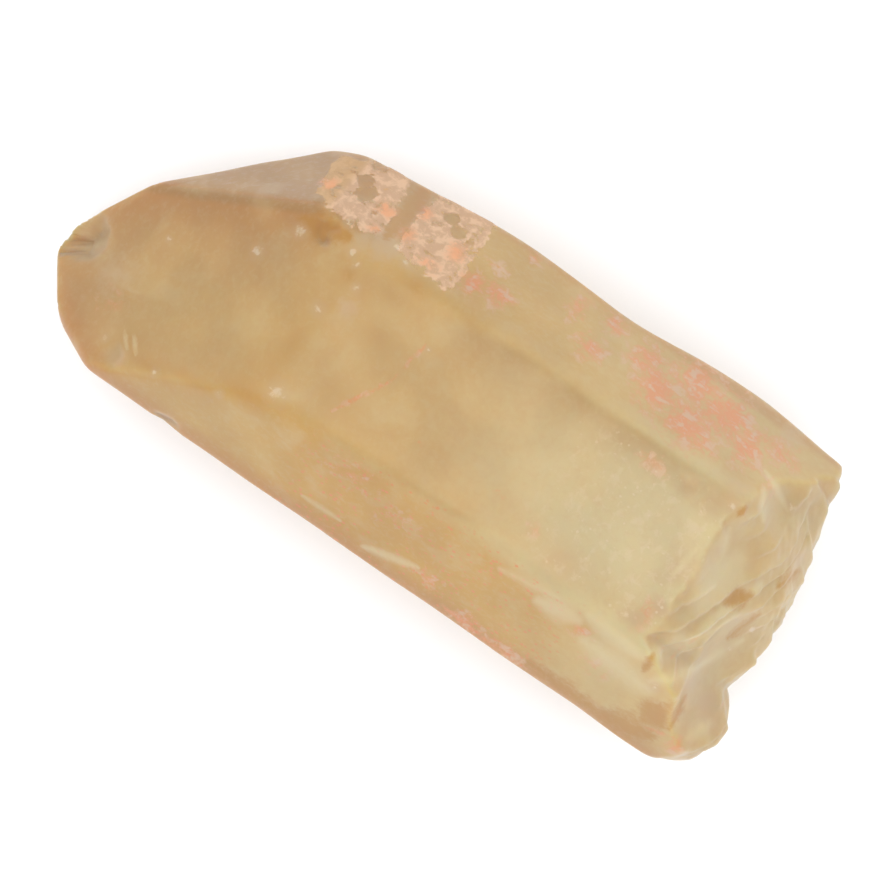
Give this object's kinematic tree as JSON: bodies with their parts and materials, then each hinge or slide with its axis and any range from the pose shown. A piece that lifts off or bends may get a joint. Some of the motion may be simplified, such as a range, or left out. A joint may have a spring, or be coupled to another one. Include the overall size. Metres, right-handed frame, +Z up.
{
  "type": "citrine crystal point",
  "caption": "Single natural citrine point, a cloudy honey-yellow quartz prism with a faceted tip and a broken base, lying on one prism face.",
  "frame": {"origin": "middle of the stone's underside, on the surface that it lies on", "axes": "+X along the crystal's long axis towards its tip, +Y to the left of the tip seen from above, +Z up out of the top prism face"},
  "size_m": [0.0724, 0.0314, 0.0252],
  "materials": {
    "citrine": "cloudy, satin-smooth natural faces with worn edges, honey yellow with pink and white crust"
  },
  "bodies": {
    "root": {"citrine_crystal": "citrine"}
  },
  "joints": []
}
